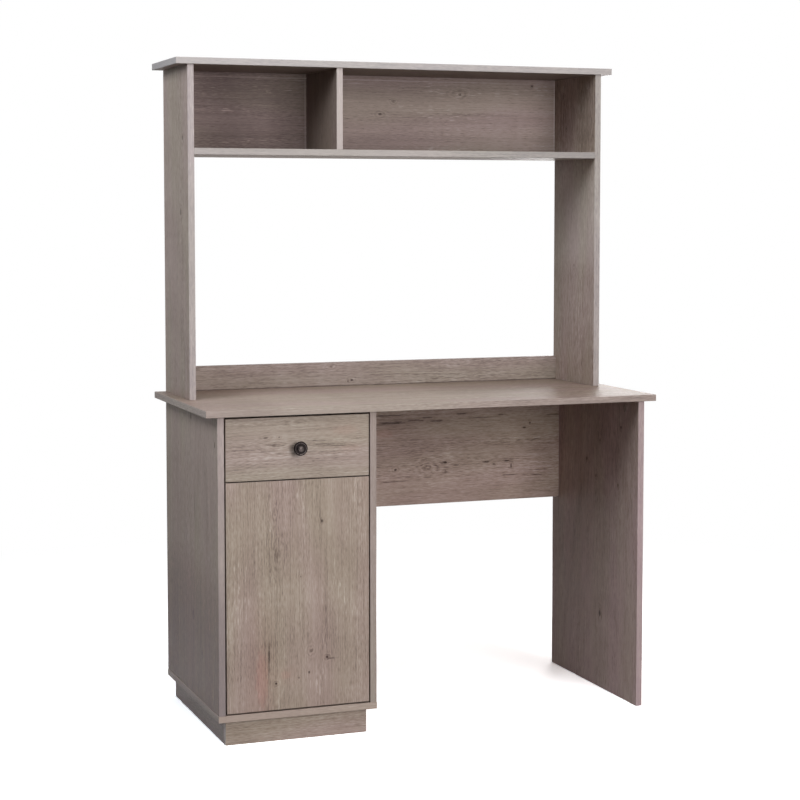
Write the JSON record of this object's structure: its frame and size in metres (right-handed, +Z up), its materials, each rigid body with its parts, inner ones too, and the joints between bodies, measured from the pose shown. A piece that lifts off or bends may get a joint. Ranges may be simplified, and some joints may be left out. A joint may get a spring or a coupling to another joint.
{
  "type": "student desk with hutch",
  "caption": "Flat-pack student desk in oak-print board: left pedestal with a drawer over a cupboard, open knee space, and an open hutch with a rail, a shelf and divided cubbies.",
  "frame": {"origin": "on the floor, under the middle of the whole desk's outer box, with the knob at the front and the desk top's edge at the back", "axes": "+Z up; -Y is the front, where the chair and the knob are; +X to the right as seen from the chair, so the pedestal stands at -X"},
  "size_m": [1.092, 0.503, 1.524],
  "materials": {
    "laminate": "oak-print laminate on particleboard, satin",
    "hardboard": "thin hardboard with the same oak print, satin",
    "drawer_board": "plain laminated board inside the drawer, satin",
    "bronze": "dark antique bronze, satin",
    "zinc": "zinc plated",
    "runner_steel": "white epoxy coat",
    "nylon": "moulded nylon, matte",
    "grey_plastic": "moulded, matte",
    "beech": "plain beech",
    "softwood": "sawn softwood",
    "nickel": "nickel plated"
  },
  "bodies": {
    "carcass": {"back_nails": "zinc", "cam_bolts": "zinc", "cam_caps": "laminate", "cam_locks": "zinc", "cupboard_shelf": "laminate", "desk_top": "laminate", "dowels": "beech", "hinge_arms": "nickel", "hinge_plate_screws": "zinc", "hinge_plates": "nickel", "hutch_back": "hardboard", "hutch_divider": "laminate", "hutch_left_upright": "laminate", "hutch_rail": "laminate", "hutch_right_upright": "laminate", "hutch_shelf": "laminate", "hutch_top": "laminate", "latch_case": "grey_plastic", "latch_screws": "zinc", "left_end": "laminate", "modesty_panel": "laminate", "panel_screws": "zinc", "pedestal_back": "hardboard", "pedestal_bottom": "laminate", "pedestal_runner_left": "runner_steel", "pedestal_runner_right": "runner_steel", "pedestal_runner_screws": "zinc", "pedestal_side": "laminate", "plinth_back": "laminate", "plinth_block_screws": "zinc", "plinth_blocks": "softwood", "plinth_front": "laminate", "plinth_left": "laminate", "plinth_right": "laminate", "right_end": "laminate", "shelf_pins": "nickel"},
    "drawer": {"drawer_front": "laminate", "drawer_left_side": "drawer_board", "drawer_right_side": "drawer_board", "drawer_back": "drawer_board", "drawer_bottom": "hardboard", "drawer_screws": "zinc", "drawer_cams": "zinc", "drawer_bolts": "zinc", "drawer_knob": "bronze", "knob_screw": "zinc", "drawer_runner_left": "runner_steel", "drawer_runner_right": "runner_steel", "drawer_runner_screws": "zinc"},
    "door": {"door_panel": "laminate", "hinge_cups": "nickel", "hinge_pins": "zinc", "hinge_cup_screws": "zinc", "latch_strike": "nickel", "strike_screw": "zinc"},
    "plunger": {"latch_plunger": "grey_plastic"},
    "front_roller_left": {"front_roller_left": "nylon"},
    "front_roller_right": {"front_roller_right": "nylon"},
    "rear_roller_left": {"rear_roller_left": "nylon"},
    "rear_roller_right": {"rear_roller_right": "nylon"}
  },
  "joints": [
    {"name": "drawer_slide", "type": "slide", "parent": "carcass", "child": "drawer", "axis": [0, -1, 0], "range_m": [0, 0.3]},
    {"name": "door_hinge", "type": "hinge", "parent": "carcass", "child": "door", "pos_m": [-0.483, -0.2165, 0.3294], "axis": [0, 0, -1], "range_deg": [0, 100]},
    {"name": "latch_push", "type": "slide", "parent": "carcass", "child": "plunger", "axis": [0, 1, 0], "range_m": [0, 0.003], "stiffness_N_per_m": 400},
    {"name": "front_roller_left_spin", "type": "hinge", "parent": "carcass", "child": "front_roller_left", "pos_m": [-0.499, -0.1965, 0.607], "axis": [1, 0, 0], "range_deg": [0, 1620]},
    {"name": "front_roller_right_spin", "type": "hinge", "parent": "carcass", "child": "front_roller_right", "pos_m": [-0.172, -0.1965, 0.607], "axis": [1, 0, 0], "range_deg": [0, 1620]},
    {"name": "rear_roller_left_spin", "type": "hinge", "parent": "drawer", "child": "rear_roller_left", "pos_m": [-0.499, 0.1765, 0.607], "axis": [1, 0, 0], "range_deg": [0, 1620]},
    {"name": "rear_roller_right_spin", "type": "hinge", "parent": "drawer", "child": "rear_roller_right", "pos_m": [-0.172, 0.1765, 0.607], "axis": [1, 0, 0], "range_deg": [0, 1620]}
  ],
  "couplings": [
    {"joint": "front_roller_left_spin", "follows": "drawer_slide", "rad_per_m": 93.458},
    {"joint": "front_roller_right_spin", "follows": "drawer_slide", "rad_per_m": 93.458},
    {"joint": "rear_roller_left_spin", "follows": "drawer_slide", "rad_per_m": 93.458},
    {"joint": "rear_roller_right_spin", "follows": "drawer_slide", "rad_per_m": 93.458}
  ]
}
